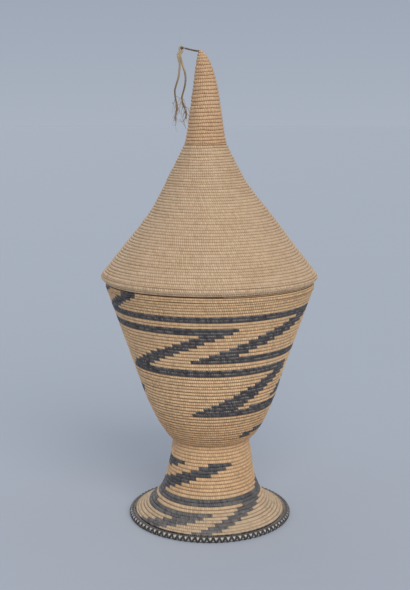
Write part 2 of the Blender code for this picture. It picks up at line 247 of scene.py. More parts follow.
# soil and painted shade in the grooves of the foot's bound edge
EDGE_GROOVE = (0.055, 0.046, 0.04)
CREAM = (0.6, 0.55, 0.45)
CREAM_LIGHT = (0.74, 0.7, 0.61)
CREAM_DARK = (0.46, 0.39, 0.27)
STEM = (0.14, 0.08, 0.048)
STEM_LIGHT = (0.26, 0.165, 0.105)
STEM_DARK = (0.045, 0.034, 0.026)
STRING = (0.47, 0.32, 0.165)
STRING_LIGHT = (0.6, 0.45, 0.26)
STRING_DARK = (0.17, 0.112, 0.055)
STRING_AGED = (0.225, 0.15, 0.07)
STRING_AGEING = (0.293, 0.278)  # the heights between which the string takes that colour
FRAYED = (0.36, 0.245, 0.15)
FRAYED_LIGHT = (0.46, 0.34, 0.225)
FLOOR = (0.48, 0.51, 0.556)
FLOOR_LIGHT = (0.8, 0.84, 0.9)
BACKDROP = (0.352, 0.397, 0.479)
HORIZON = (0.404, 0.448, 0.524)  # the floor, far away
BACKDROP_FADE = 0.11  # how far up the backdrop is even again, as a share of the way to the top
BRIGHTEST = 0.95

# Shading of the sewn strips.
CREST_GAINS = (1.45, 1.45, 1.45)  # how much lighter than its body a strip is on the coil's crest, as a painted highlight
RUBBED_GAINS = (1.7, 1.7, 1.7)  # how much lighter than its light colour a stitch with a painted highlight is
PATCH_SCALE = 45.0
SPECK_SCALE = 900.0
STRETCH_SCALE = 0.035  # in stitches: the coil's tone changes slowly along it

# The floor's rings, each wider than the one before it.
FLOOR_SIDES = 96
FLOOR_RINGS = 22
FLOOR_FIRST_RING = 0.1
FLOOR_RING_GROWTH = 1.35

FRONT_LIGHT = 1.66
BACK_LIGHT = 0.63


def running(steps):
    """The sum of the steps up to each point, from 0."""
    return np.concatenate(([0.0], np.cumsum(steps)))


def lengths_along(line):
    return running(np.linalg.norm(np.diff(line, axis=0), axis=1))


def unit(vectors):
    return vectors / np.linalg.norm(vectors, axis=1)[:, None]


def ramp(value, start, end):
    """0 up to the start, 1 from the end on, and straight between them."""
    return np.clip((value - start) / (end - start), 0.0, 1.0)


def round_axis(radius, angle, height, across=0.0):
    """Points round the basket's axis. Their angle is 0 at the front, and across moves them to the right."""
    x = across + radius * np.sin(angle)
    return np.stack((x, -radius * np.cos(angle), np.broadcast_to(height, x.shape)), axis=-1)


# Outlines in the plane of radius and height.


class Outline:
    """A line from the top of a wall's outer side to its bottom, read by the distance along it."""

    def __init__(self, points):
        self.points = np.array(points, float)
        self.along = running(np.hypot(*np.diff(self.points, axis=0).T))
        self.length = float(self.along[-1])

    def at(self, distance):
        return tuple(np.interp(distance, self.along, self.points[:, axis]) for axis in range(2))

    def direction(self, distance):
        """The unit vector down the line, smoothed over a short stretch."""
        before = np.clip(distance - DIRECTION_SPAN / 2, 0.0, self.length - DIRECTION_SPAN)
        across, down = np.subtract(self.at(before + DIRECTION_SPAN), self.at(before))
        size = np.hypot(across, down)
        return across / size, down / size


def curve_points(*corners, count=160):
    """Points along one cubic curve."""
    spots = [Vector((radius, height, 0.0)) for radius, height in corners]
    return [(spot.x, spot.y) for spot in geometry.interpolate_bezier(*spots, count)]


def foot_outline():
    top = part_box("foot_skirt")[1].z + EDGE_GAP
    low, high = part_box("foot_bound_edge")
    flare = high.x - (high.z - low.z) - FOOT_NECK_RADIUS - FOOT_STEM_TAPER
    drop = top - (high.z + SKIRT_STANDS_PROUD)
    share = np.linspace(0.0, 1.0, 300)
    radius = FOOT_NECK_RADIUS + FOOT_STEM_TAPER * share + flare * share**FOOT_FLARE_POWER
    return Outline(np.stack((radius, top - share * drop), axis=1))


def bowl_outline():
    low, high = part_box("bowl_wall")
    belly_height = low.z + BELLY_HEIGHT - EDGE_GAP
    below_belly = (BELLY_RADIUS - BELLY_HANDLE[0], belly_height - BELLY_HANDLE[1])
    above_foot = (HEEL_HANDLE[0], low.z + HEEL_HANDLE[1])
    heel = curve_points((BELLY_RADIUS, belly_height), below_belly, above_foot, (BOWL_FOOT_RADIUS, low.z))
    return Outline([(high.x, high.z)] + heel)


def collar_outline():
    low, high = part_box("bowl_collar")
    bend = high.z - COLLAR_STRAIGHT
    return Outline([(high.x, high.z), (high.x, bend), (high.x - (bend - low.z) * COLLAR_SLOPE, low.z)])


def lip_outline():
    low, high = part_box("lid_lip")
    shoulder = low.z + LIP_SHOULDER_HEIGHT
    above, below = (LIP_HANDLE_RADIUS, shoulder), (LIP_BOTTOM_RADIUS, shoulder)
    return Outline(curve_points((LIP_TOP_RADIUS, high.z), above, below, (LIP_BOTTOM_RADIUS, low.z)))


def cone_outline():
    low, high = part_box("lid_cone")
    bend = (CONE_BEND_RADIUS, low.z + CONE_BEND_HEIGHT)
    return Outline(curve_points((SPIRE_FOOT_RADIUS, high.z), bend, bend, (CONE_BOTTOM_RADIUS, low.z)))


def spire_outline():
    low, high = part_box("lid_spire")
    tip = high.z + SPIRE_DOME
    above = (SPIRE_TIP_HANDLE[0], tip - SPIRE_TIP_HANDLE[1])
    below = (SPIRE_FOOT_HANDLE[0], low.z + SPIRE_FOOT_HANDLE[1])
    return Outline(curve_points((SPIRE_TIP_RADIUS, tip), above, below, (SPIRE_FOOT_RADIUS, low.z)))


def neck_lean(height):
    """How far to the right the middle of the foot and the bowl lies at a height."""
    return NECK_LEAN * np.sin(math.pi * ramp(height, 0.0, NECK_LEAN_TOP)) ** 2


def lid_lean(height):
    """How far to the right the lid's own axis lies at a height."""
    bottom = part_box("lid_cone")[0].z
    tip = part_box("lid_spire")[1].z
    above = height - bottom
    bend = ramp(above, CONE_LEAN_START, CONE_LEAN_END)
    low = 1.0 - ramp(above - LID_SHIFT_TOP, 0.0, LID_SHIFT_FADE)
    quick = np.maximum(above - TIP_LEAN_START, 0.0) / (tip - bottom - TIP_LEAN_START)
    return -LID_SHIFT * low - CONE_LEAN * bend * bend * (3.0 - 2.0 * bend) - TIP_LEAN * quick**TIP_LEAN_POWER


# Meshes made of tubes. Each tube is laid on the bake map as a number of level strips.
BAKE_LEFT = 0.03
BAKE_WIDTH = 0.96
BAKE_MARGIN = 0.08  # of a strip's height, below and above its faces
BAKE_FILL = 0.84
CAP_PLACES = (0.008, 0.02)  # where the flat ends lie, left of the strips
CAP_RADIUS = 0.004
CAP_HEIGHT = 0.4


def corner_uv(left, right, low, high):
    """The places of each face's four corners."""
    corners = np.broadcast_arrays(left, low, left, high, right, high, right, low)
    return np.stack(corners, axis=-1).reshape(-1, 2)


class Tubes:
    """Gathers tubes and makes one mesh of them."""

    def __init__(self, name):
        self.name = name
        self.tubes = []

    def add(self, rings, stitches, around, materials, closed=False):
        """A tube through rings. stitches counts the wraps along it, and around is where each point lies."""
        self.tubes.append((rings, stitches, around, materials, closed))

    def strips(self):
        """How many strips each tube gets, so that the bake map is as fine along the tubes as across them."""
        length, girth = 0.0, []
        for rings, *_ in self.tubes:
            length += lengths_along(rings.mean(axis=1))[-1]
            girth.append(np.linalg.norm(rings[0] - np.roll(rings[0], 1, axis=0), axis=1).sum())
        total = max(1, round(math.sqrt(length / max(np.mean(girth), 1e-6))))
        counts = np.array([len(tube[0]) for tube in self.tubes], float)
        return np.maximum(1, np.round(counts / counts.sum() * total)).astype(int)

    def build(self, materials):
        strips = self.strips()
        strip_height = 1.0 / strips.sum()
        verts, quads, stitch_uv, bake_uv, indices, caps = [], [], [], [], [], []
        base, strip_base = 0, 0
        for (rings, stitches, around, material, closed), strip_count in zip(self.tubes, strips):
            count, sides = rings.shape[:2]
            spans = count if closed else count - 1
            span, side = np.arange(spans)[:, None], np.arange(sides)[None, :]
            near, far = base + span * sides, base + (span + 1) % count * sides
            side_after = (side + 1) % sides
            faces = np.stack((near + side, near + side_after, far + side_after, far + side), axis=-1)
            quads.append(faces.reshape(-1, 4))
            start, end = stitches[:spans, None], stitches[1 : spans + 1, None]
            stitch_uv.append(corner_uv(start, end, around[:-1], around[1:]))
            indices.append(np.broadcast_to(material, (spans, sides)).ravel())

            per_strip = math.ceil(spans / strip_count)
            left = BAKE_LEFT + BAKE_WIDTH * (span % per_strip) / per_strip
            right = left + BAKE_WIDTH / per_strip
            bottom = (strip_base + span // per_strip + BAKE_MARGIN + BAKE_FILL * side / sides) * strip_height
            top = bottom + BAKE_FILL / sides * strip_height
            bake_uv.append(corner_uv(left, right, bottom, top))
            if not closed:
                turn = np.arange(sides) / sides * 2 * math.pi
                ends = zip((0, count - 1), (0, strip_count - 1), CAP_PLACES, (-1, 1))
                for ring, strip, place, order in ends:
                    middle = (strip_base + strip + 0.5) * strip_height
                    up = CAP_HEIGHT * strip_height * np.sin(turn)
                    uv = np.stack((place + CAP_RADIUS * np.cos(turn), middle + up), axis=1)
                    points = base + ring * sides + np.arange(sides)
                    caps.append((points[::order], uv[::order], stitches[ring], around))
            verts.append(rings.reshape(-1, 3))
            base += count * sides
            strip_base += strip_count

        verts, quads = np.concatenate(verts), np.concatenate(quads)
        a, b, c, d = verts[quads.T]
        volume = np.sum(a * (np.cross(b, c) + np.cross(c, d)))
        order = -1 if volume < 0 else 1  # it is negative where the faces look inwards
        loops = [quads[:, ::order].ravel()]
        uvs = [np.concatenate(uv).reshape(-1, 4, 2)[:, ::order] for uv in (stitch_uv, bake_uv)]
        uvs = [[uv.reshape(-1, 2)] for uv in uvs]
        sizes = [4] * len(quads)
        for points, uv, stitch, around in caps:
            loops.append(points[::order])
            uvs[0].append(np.stack((np.full(len(points), stitch), around[:-1]), axis=1))
            uvs[1].append(uv[::order])
            sizes.append(len(points))
        loops = np.concatenate(loops)
        indices = np.concatenate(indices + [np.zeros(len(caps), int)])
        mesh = bpy.data.meshes.new(self.name)
        mesh.vertices.add(len(verts))
        mesh.loops.add(len(loops))
        mesh.polygons.add(len(sizes))
        for items, name, values in (
            (mesh.vertices, "co", verts.astype(np.float32)),
            (mesh.loops, "vertex_index", loops.astype(np.int32)),
            (mesh.polygons, "loop_start", (np.cumsum(sizes) - sizes).astype(np.int32)),
            (mesh.polygons, "material_index", indices.astype(np.int32)),
            (mesh.polygons, "use_smooth", np.arange(len(sizes)) < len(quads)),
        ):
            items.foreach_set(name, values.ravel())
        mesh.update(calc_edges=True)
        sharpen_cap_edges(mesh, caps)
        for layer, uv in zip(("stitches", "OFBake"), uvs):
            uv_map = mesh.uv_layers.new(name=layer)
            uv_map.data.foreach_set("uv", np.concatenate(uv).astype(np.float32).ravel())
        for material in materials:
            mesh.materials.append(material)
        return add_object(self.name, mesh)


def add_object(name, data):
    made = bpy.data.objects.new(name, data)
    bpy.context.scene.collection.objects.link(made)
    return made


def sharpen_cap_edges(mesh, caps):
    """Marks the edges round the flat ends, so that the ends don't tilt the shading beside them."""
    on_cap = np.zeros(len(mesh.vertices), bool)
    for points, *_ in caps:
        on_cap[points] = True
    ends = np.zeros(len(mesh.edges) * 2, np.int32)
    mesh.edges.foreach_get("vertices", ends)
    mesh.edges.foreach_set("use_edge_sharp", on_cap[ends.reshape(-1, 2)].all(axis=1))


# Coils.


def rounded(share):
    """A share of a coil's half size, with the corners of its section filled out."""
    return np.sign(share) * np.abs(share) ** ROUNDNESS


def section_shape(angle):
    """A section's points as columns of shares of its half size, and their places round it."""
    around = angle / (2 * math.pi)
    across, along = rounded(np.cos(angle)), rounded(np.sin(angle))
    return across[:, None], along[:, None], np.append(around, around[0] + 1.0)


def stripe_spans(stripes):
    """The dyed spans as turns along the coil, from the row and the degrees round."""
    spans = []
    for first_row, rows, left, left_step, right, right_step in stripes:
        for step in range(rows):
            row = first_row + step
            spans.append((row - (right + right_step * step) / 360.0, row - (left + left_step * step) / 360.0))
    return spans


def stitch_relief(random, count):
    """Where the points of a row of stitches lie, which of them are valleys, and how far each bulges."""
    stitches = (np.arange(count)[:, None] + STITCH_SPOTS).ravel()
    is_valley = np.tile(STITCH_SPOTS == 0.0, count)
    bulge = np.repeat(random.normal(0.0, STITCH_UNEVENNESS, count), len(STITCH_SPOTS))
    return stitches, is_valley, bulge * ~is_valley


def wind(name, outline, row, materials, body, node, slot, seed, first_turn=0.0, wall=WALL, spans=(),
         lean=np.zeros_like, pieces=1, unevenness=ROW_UNEVENNESS, dyed_below=False):
    """A coil along an outline, as one or more pieces.

    row is the width of its rows in millimetres, or a function of the millimetres down the outline. spans are
    the dyed stretches, in turns, and dyed_below blackens the groove under the last turn.
    """
    random = np.random.default_rng(seed)
    ruler = np.linspace(0.0, outline.length, 2000)
    turns_per_metre = 1000.0 / (row(ruler * 1000.0) if callable(row) else np.full_like(ruler, row))
    ruler_turns = running((turns_per_metre[1:] + turns_per_metre[:-1]) / 2 * ruler[1]) + first_turn

    def distance_at(turns):
        return np.interp(turns, ruler_turns, ruler)

    first, last = ruler_turns[0] - (1 - COIL_END), ruler_turns[-1] - COIL_END
    grid = np.linspace(first, last, int((last - first) * STEPS_PER_TURN))
    radius = outline.at((distance_at(grid) + distance_at(grid + 1.0)) / 2)[0]
    arc = running((radius[1:] + radius[:-1]) * math.pi * np.diff(grid))
    count = round(arc[-1] / STITCH)
    uneven = random.normal(0.0, STITCH_JITTER, count + 1)
    uneven[[0, -1]] = 0.0
    edges = np.interp((np.arange(count + 1) + uneven) * arc[-1] / count, arc, grid)
    middles, dyed = (edges[1:] + edges[:-1]) / 2, np.zeros(count, bool)
    for start, end in spans:
        dyed |= (middles >= start) & (middles <= end)

    stitches, is_valley, bulge = stitch_relief(random, count)
    turns = (edges[:-1, None] * (1 - STITCH_SPOTS) + edges[1:, None] * STITCH_SPOTS).ravel()
    turns, stitches = np.append(turns, edges[-1]), np.append(stitches, count)
    is_valley, bulge = np.append(is_valley, True), np.append(bulge, 0.0)
    knots = np.arange(turns[0], turns[-1] + 2.0 / COIL_CHANGES, 1.0 / COIL_CHANGES)
    stretches = np.interp(turns, knots, random.normal(0.0, COIL_UNEVENNESS, len(knots)))
    lift = stretches + bulge - STITCH_VALLEY * is_valley

    knots = np.arange(turns[0], turns[-1] + 2.0, 1.0 / ROW_CHANGES)
    wander = random.normal(0.0, unevenness, len(knots))
    high, low = (np.clip(distance_at(edge) + np.interp(edge, knots, wander), 0.0, outline.length)
                 for edge in (turns, turns + 1.0))
    middle = (high + low) / 2
    radius, height = outline.at(middle)
    along_radius, along_height = outline.direction(middle)
    thickness = wall(radius) if callable(wall) else wall
    half_width = (low - high) / 2 + COIL_OVERLAP
    half_thickness = thickness / 2 * np.clip((low - high) / TAPER_WIDTH, TAPER_LEAST, 1.0)
    outward, downward, around = section_shape(np.radians(SECTION_ANGLES))
    out = outward * (half_thickness + lift / 2) + (lift / 2 - half_thickness)
    down = downward * (half_width - STITCH_VALLEY / 2 * is_valley)
    ring_radius = radius - out * along_height + down * along_radius
    ring_height = height + out * along_radius + down * along_height
    slant = downward * STITCH_SLANT * np.where(outward > 0, 1.0, -1.0)
    angle = -2 * math.pi * turns + slant / np.maximum(ring_radius, SLANT_LEAST_RADIUS)
    rings = round_axis(np.maximum(ring_radius, LEAST_RADIUS), angle, ring_height, lean(ring_height))
    rings = rings.transpose(1, 0, 2)
    per_stitch = len(STITCH_SPOTS)
    cuts = np.round(np.linspace(0, count, pieces + 1)).astype(int)
    for number, (start, end) in enumerate(zip(cuts[:-1], cuts[1:])):
        tubes = Tubes(name if pieces == 1 else f"{name}_{number + 1}")
        rows = slice(start * per_stitch, end * per_stitch + 1)
        faces = np.repeat(dyed[start:end], per_stitch)[:, None] * np.ones(len(SECTION_ANGLES), int)
        if dyed_below:
            faces[turns[rows][:-1] > last - 1.0, LOWER_SIDES] = 1
        tubes.add(rings[rows], stitches[rows], around, faces)
        dress(tubes.build(materials), body, slot, node)


def ring_coil(name, radius, height, half, materials, body, node, slot, seed, sides=12, finish=0, across=0.0):
    """One closed coil, wrapped like the rest, with its middle a distance to the right of the axis.

    half is half its thickness, and finish is one material's number, or one for each of its sides.
    """
    random = np.random.default_rng(seed)
    count = round(2 * math.pi * radius / STITCH)
    stitches, is_valley, lift = stitch_relief(random, count)
    lift = lift - STITCH_VALLEY * is_valley
    outward, up, around = section_shape(2 * math.pi * np.arange(sides) / sides)
    angle = -2 * math.pi * stitches / count - up * STITCH_SLANT / radius
    rings = round_axis(radius + outward * (half + lift), angle, height + up * (half + lift), across)
    tubes = Tubes(name)
    tubes.add(rings.transpose(1, 0, 2), np.append(stitches, count), around, finish, closed=True)
    dress(tubes.build(materials), body, slot, node)


def dress(piece, body, slot, *nodes):
    """Lets a piece ride on its body and stand for its solids."""
    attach(piece, body)
    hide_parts(*nodes)
    return piece


# Materials.


class Nodes:
    """A tree of shader nodes, made one after another."""

    def __init__(self, tree):
        self.tree = tree

    def put(self, socket, value):
        """Links an output to an input, or sets the input to a number or colour."""
        if isinstance(value, bpy.types.NodeSocket):
            self.tree.links.new(value, socket)
        else:
            socket.default_value = value

    def make(self, kind, inputs=(), output=0, **settings):
        """Makes a node with inputs given in order or by name, and gives one of its outputs."""
        node = self.tree.nodes.new("ShaderNode" + kind)
        for key, value in settings.items():
            setattr(node, key, value)
        for key, value in inputs.items() if isinstance(inputs, dict) else enumerate(inputs):
            self.put(node.inputs[key], value)
        return node.outputs[output]

    def finish(self, inputs):
        """Sets the inputs of the material's shader."""
        for key, value in inputs.items():
            self.put(self.tree.nodes["Principled BSDF"].inputs[key], value)

    def math(self, operation, first, second=0.0):
        return self.make("Math", (first, second), operation=operation)

    def plus(self, first, second):
        return self.math("ADD", first, second)

    def minus(self, first, second):
        return self.math("SUBTRACT", first, second)

    def times(self, first, second):
        return self.math("MULTIPLY", first, second)

    def mix(self, share, first, second, blend="MIX"):
        values = {"Factor": share, "A": first, "B": second}
        return self.make("Mix", values, "Result", data_type="RGBA", blend_type=blend)

    def range(self, value, low, high, to_low=0.0, to_high=1.0):
        ends = {"From Min": low, "From Max": high, "To Min": to_low, "To Max": to_high}
        return self.make("MapRange", {"Value": value, **ends})

    def lay(self, colour, tone, value, low, high, strength=1.0, blend="MIX"):
        """Lays a tone on a colour, from not at all at the value's low end to its strength at the high one."""
        return self.mix(self.range(value, low, high, 0.0, strength), colour, opaque(tone), blend)

    def vector(self, x, y, z=0.0):
        return self.make("CombineXYZ", (x, y, z))

    def part(self, vector, axis):
        return self.make("SeparateXYZ", (vector,), axis)

    def noise(self, place, scale, detail=2.0, roughness=0.5):
        values = {"Vector": place, "Scale": scale, "Detail": detail, "Roughness": roughness}
        return self.make("TexNoise", values)

    def chance(self, stitch, offset):
        """A random number for each stitch, another one for each offset."""
        return self.make("TexWhiteNoise", {"W": self.plus(stitch, offset)}, noise_dimensions="1D")

    def ripple(self, around):
        """1 on the coil's crest and on its inner side, and 0 in the grooves between."""
        return self.math("ABSOLUTE", self.math("COSINE", self.times(around, 2 * math.pi)))

    def stitch_places(self):
        """How many stitches along the coil a point lies, and how far round the coil, in turns."""
        uv = self.make("UVMap", uv_map="stitches")
        return self.part(uv, 0), self.part(uv, 1)


def new_material(name):
    material = bpy.data.materials.new(name)
    material.use_nodes = True
    return material, Nodes(material.node_tree)


def opaque(colour):
    return (*colour, 1.0)


def brighter(colour, gains):
    return [min(gain * part, BRIGHTEST) for gain, part in zip(gains, colour)]


def wrapped_material(name, body, light, dark, groove, roughness=0.62, tint=0.6, soil=0.8, valley_soil=0.5,
                     groove_depth=0.15, groove_reach=0.62, ridge=0.1, worn=0.0, weather=(), glints=0.0,
                     soil_rise=None):
    """A sewn strip: long fibres across each stitch, a tint of its own for each, and soil and painted shade
    in the grooves.

    tint is how far the strips differ, and soil and valley_soil are how dark the soil and
    painted shade are between rows and between stitches. They start groove_reach of the way up to the coil's
    crest and are full at groove_depth. ridge and worn are how strong the painted
    highlights on the crest and on random stitches are, and glints is how much the straw inside shows. A part
    of weather is a height, a second one, and what the strips are multiplied by from there on.
    soil_rise is a height, a lower one, and the turns by which the soil and painted shade move
    between them to the coil's upper side.
    """
    material, nodes = new_material(name)
    along, around = nodes.stitch_places()
    stitch, within = nodes.math("FLOOR", along), nodes.math("FRACT", along)
    chance = nodes.chance(stitch, 0.0)
    edge = nodes.math("MINIMUM", within, nodes.minus(1.0, within))
    valley = nodes.range(edge, 0.0, 0.22, 1.0, 0.0)
    crest = nodes.ripple(around)
    fibres = nodes.times(along, FIBRES_PER_STITCH)
    streak_place = nodes.vector(fibres, nodes.times(around, 7.0), nodes.times(chance, 40.0))
    streaks = nodes.noise(streak_place, 1.0, 3.0, 0.6)
    place = nodes.make("TexCoord", output="Object")
    height = nodes.part(place, 2)
    patches = nodes.noise(place, PATCH_SCALE, 3.0, 0.55)
    specks = nodes.noise(place, SPECK_SCALE)
    stretches = nodes.noise(nodes.vector(nodes.times(along, STRETCH_SCALE), 0.0), 1.0)

    colour = opaque(body)
    for tone, value, low, high, strength in (
        (light, nodes.plus(nodes.times(chance, tint), patches), 0.35, 1.15, 1.0),
        (light, stretches, 0.48, 0.68, 0.45 * tint),
        (dark, stretches, 0.5, 0.32, 0.3 * tint),
        (dark, nodes.chance(stitch, 0.37), 0.55, 1.0, 0.55 * tint),
        (dark, streaks, 0.48, 0.7, 0.45),
        (light, streaks, 0.46, 0.28, 0.35),
        (dark, specks, 0.62, 0.75, 0.35),
        (light, edge, 0.22, 0.5, 0.5 * tint),  # each stitch's middle, lighter: a painted highlight on its bulge
        # a painted highlight on the crest of some stitches
        (brighter(body, CREST_GAINS), crest, 0.72, 0.98,
         nodes.range(nodes.chance(stitch, 0.13), 0.35, 0.75, 0.0, ridge)),
        # a painted highlight on random single stitches
        (brighter(light, RUBBED_GAINS), nodes.chance(stitch, 0.71), 0.8, 0.9, worn),
    ):
        colour = nodes.lay(colour, tone, value, low, high, strength)
    # tones that the strips are multiplied by, from a height on
    for start, end, tone in weather:
        colour = nodes.lay(colour, tone, height, start, end, blend="MULTIPLY")

    # Soil and painted shade darken the grooves between rows and the valleys between stitches.
    soil_crest = crest
    if soil_rise:
        start, end, turn = soil_rise
        soil_crest = nodes.ripple(nodes.minus(around, nodes.range(height, start, end, 0.0, turn)))
    hollow = nodes.range(soil_crest, groove_depth, groove_reach, soil, 0.0)
    soiled = nodes.math("MAXIMUM", nodes.times(valley, valley_soil), hollow)
    colour = nodes.mix(soiled, colour, opaque(groove))
    if glints:
        beside_groove = nodes.range(crest, 0.72, 0.96, glints, 0.0)
        shown = nodes.times(nodes.range(edge, 0.14, 0.3, 1.0, 0.0), beside_groove)
        colour = nodes.lay(colour, STRAW_INSIDE, chance, 0.3, 0.7, shown)

    rough = nodes.range(streaks, 0.3, 0.7, roughness - 0.1, roughness + 0.12)
    relief = nodes.plus(nodes.times(streaks, 0.8), nodes.times(specks, 0.25))
    relief = nodes.minus(relief, nodes.times(valley, 0.5))
    nodes.finish({
        "Base Color": colour,
        "Roughness": nodes.math("MAXIMUM", rough, nodes.times(soiled, 0.9)),
        "Specular IOR Level": 0.32,
        "Normal": nodes.make("Bump", {"Height": relief, "Strength": 0.55, "Distance": 0.00007}),
    })
    return material


def straw_material(name, body, **finish):
    dark = [share * part for share, part in zip(body, STRAW_DARKER)]
    return wrapped_material(name, body, brighter(body, STRAW_LIGHTER), dark, GROOVE_BROWN, **finish)


def string_material(name, body, light, dark, lay, ageing=None):
    """Twisted fibre: fine streaks that follow the twist, uneven in colour.

    ageing is a height, a lower one and the colour that the fibre has below it.
    """
    material, nodes = new_material(name)
    along, around = nodes.stitch_places()
    turned = nodes.plus(around, nodes.times(along, lay))
    streak_place = nodes.vector(nodes.times(along, 1.3), nodes.times(turned, 12.0))
    streaks = nodes.noise(streak_place, 1.0, 3.0, 0.6)
    place = nodes.make("TexCoord", output="Object")
    colour = nodes.lay(opaque(body), light, nodes.noise(place, 260.0), 0.35, 0.65)
    if ageing:
        start, end, tone = ageing
        colour = nodes.lay(colour, tone, nodes.part(place, 2), start, end, 0.85)
    nodes.finish({
        "Base Color": nodes.lay(colour, dark, streaks, 0.5, 0.7, 0.8),
        "Roughness": nodes.range(streaks, 0.3, 0.7, 0.6, 0.9),
        "Specular IOR Level": 0.3,
        "Normal": nodes.make("Bump", {"Height": streaks, "Strength": 0.6, "Distance": 0.00008}),
    })
    return material


def floor_material():
    material, nodes = new_material("stage_paper")
    mottle = nodes.noise(nodes.make("TexCoord", output="Object"), 3.0, 4.0)
    nodes.finish({
        "Base Color": nodes.lay(opaque(FLOOR), FLOOR_LIGHT, mottle, 0.3, 0.7, 0.03),
        "Roughness": nodes.range(mottle, 0.3, 0.7, 0.85, 0.95),
    })
    return material


# Camera, stage and light.


def make_camera():
    camera = bpy.data.cameras.new("camera")
    camera.sensor_width = SENSOR
    camera.lens = FOCAL_LENGTH_PX * SENSOR / PHOTO_HEIGHT_PX
    camera.clip_start = 0.01
    camera.clip_end = 200.0
    holder = add_object("camera", camera)
    holder.location = CAMERA_PLACE
    holder.rotation_euler = (math.pi / 2 - CAMERA_PITCH_DOWN, 0.0, 0.0)
    bpy.context.scene.camera = holder


def make_stage():
    """A pale floor that runs out to the horizon."""
    radii = [FLOOR_FIRST_RING * FLOOR_RING_GROWTH**step for step in range(FLOOR_RINGS)]
    turns = [2 * math.pi * side / FLOOR_SIDES for side in range(FLOOR_SIDES)]
    verts = [(0.0, 0.0, 0.0)]
    verts += [(radius * math.cos(turn), radius * math.sin(turn), 0.0) for radius in radii for turn in turns]
    sides = [(side, (side + 1) % FLOOR_SIDES) for side in range(FLOOR_SIDES)]
    faces = [(0, 1 + side, 1 + after) for side, after in sides]
    for inner in range(1, len(verts) - FLOOR_SIDES, FLOOR_SIDES):
        outer = inner + FLOOR_SIDES
        faces += [(inner + side, outer + side, outer + after, inner + after) for side, after in sides]
    mesh = bpy.data.meshes.new("stage_floor")
    mesh.from_pydata(verts, [], faces)
    mesh.materials.append(floor_material())
    add_object("stage_floor", mesh)


def far_light(name, azimuth, elevation, spread, strength, colour, casts_shadow=True):
    """A wide, distant light. Its azimuth is 0 at the front and grows to the right, in degrees."""
    light = bpy.data.lights.new(name, "SUN")
    light.angle = math.radians(spread)
    light.energy = strength
    light.color = colour
    light.use_shadow = casts_shadow
    tilt = math.pi / 2 - math.radians(elevation)
    add_object(name, light).rotation_euler = (tilt, 0.0, math.radians(azimuth))


def make_light():
    """Even light all round, a broad soft light from the front and a weak one from behind."""
    far_light("front_soft", 14.0, 32.0, 50.0, FRONT_LIGHT, (1.0, 0.985, 0.95))
    far_light("back_fill", 200.0, 38.0, 60.0, BACK_LIGHT, (1.0, 1.0, 1.0), casts_shadow=False)
    world = bpy.data.worlds.new("studio")
    world.use_nodes = True
    nodes = Nodes(world.node_tree)
    upwards = nodes.part(nodes.make("TexCoord", output="Generated"), 2)
    fade = nodes.lay(opaque(HORIZON), BACKDROP, upwards, 0.0, BACKDROP_FADE)
    nodes.put(world.node_tree.nodes["Background"].inputs["Color"], fade)
    bpy.context.scene.world = world
    bpy.context.scene.view_settings.view_transform = "Standard"


# Cords.


def route_from(start, route):
    """The points of a route in millimetres from a starting point."""
    return [start + Vector([part / 1000 for part in point]) for point in route]


def smooth_route(route, spacing):
    """Evenly spaced points on a smooth curve through a route's own points."""
    route = [Vector(point) for point in route]
    ends = [2 * route[0] - route[1]] + route + [2 * route[-1] - route[-2]]
    dense = []
    for before, start, end, after in zip(ends, ends[1:], ends[2:], ends[3:]):
        handles = start + (end - before) / 6, end - (after - start) / 6
        dense += geometry.interpolate_bezier(start, *handles, end, 12)[:-1]
    line = np.array(dense + route[-1:])
    along = lengths_along(line)
    spots = np.linspace(0.0, along[-1], max(2, round(along[-1] / spacing) + 1))
    return np.stack([np.interp(spots, along, line[:, axis]) for axis in range(3)], axis=1)


def beside(line, angle, distance):
    """Points at an angle round a line that lies nearly in the plane of X and Z, at a distance from it."""
    ahead = unit(np.gradient(line, axis=0))
    first = unit(np.cross(ahead, (0.0, 1.0, 0.0)))
    angle, distance = (np.broadcast_to(value, len(line))[:, None] for value in (angle, distance))
    return line + (first * np.cos(angle) + np.cross(ahead, first) * np.sin(angle)) * distance


def twisted(line, ply, plies, offset, turns_per_metre):
    """The line that one ply of a twisted cord follows."""
    return beside(line, 2 * math.pi * (lengths_along(line) * turns_per_metre + ply / plies), offset)


def add_round_tube(tubes, line, radius, sides):
    rings = [beside(line, 2 * math.pi * side / sides, radius) for side in range(sides)]
    tubes.add(np.stack(rings, axis=1), lengths_along(line) / CORD_STITCH, np.arange(sides + 1) / sides, 0)


def make_strand(name, route, seed, material, hair_material, node):
    """A limp two-ply strand that loosens towards its end, and its frayed fibres."""
    random = np.random.default_rng(seed)
    line = smooth_route(route, 0.00022)
    share = np.linspace(0.0, 1.0, len(line))
    thin, loosen = 0.25 * ramp(share, 0.3, 0.6), ramp(share, 0.62, 1.0)
    tubes = Tubes(name)
    for ply in range(2):
        path = twisted(line, ply, 2, PLY_OFFSET * (1 - 0.15 * loosen), STRAND_TWIST)
        add_round_tube(tubes, path, STRAND_PLY_RADIUS * (1 - thin - 0.4 * loosen**2), 8)
    strand = dress(tubes.build([material]), "lid", "string", node)

    hairs = Tubes(name + "_frayed_end")
    for number in range(FRAYED_HAIRS):
        begin = 0.66 + 0.33 * number / FRAYED_HAIRS
        start = line[int(begin * (len(line) - 1))]
        length = random.uniform(*HAIR_LENGTHS)
        drift = np.array((random.normal(-0.0006, 0.0017), random.normal(0.0, 0.0012), -length))
        bow = np.array((random.normal(0.0, 0.0015), random.normal(0.0, 0.0011), 0.0))
        steps = np.linspace(0.0, 1.0, HAIR_POINTS)[:, None]
        curl = bow * np.sin(math.pi * steps)
        path = start + drift * steps + curl + bow[::-1] * 0.5 * np.sin(2.3 * math.pi * steps)
        add_round_tube(hairs, path, np.linspace(*HAIR_RADII, HAIR_POINTS), 5)
    frayed = hairs.build([hair_material])
    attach(frayed, "lid")
    path = line[::6]
    if not np.allclose(path[-1], line[-1]):
        path = np.vstack((path, line[-1]))
    length = float(lengths_along(path)[-1])


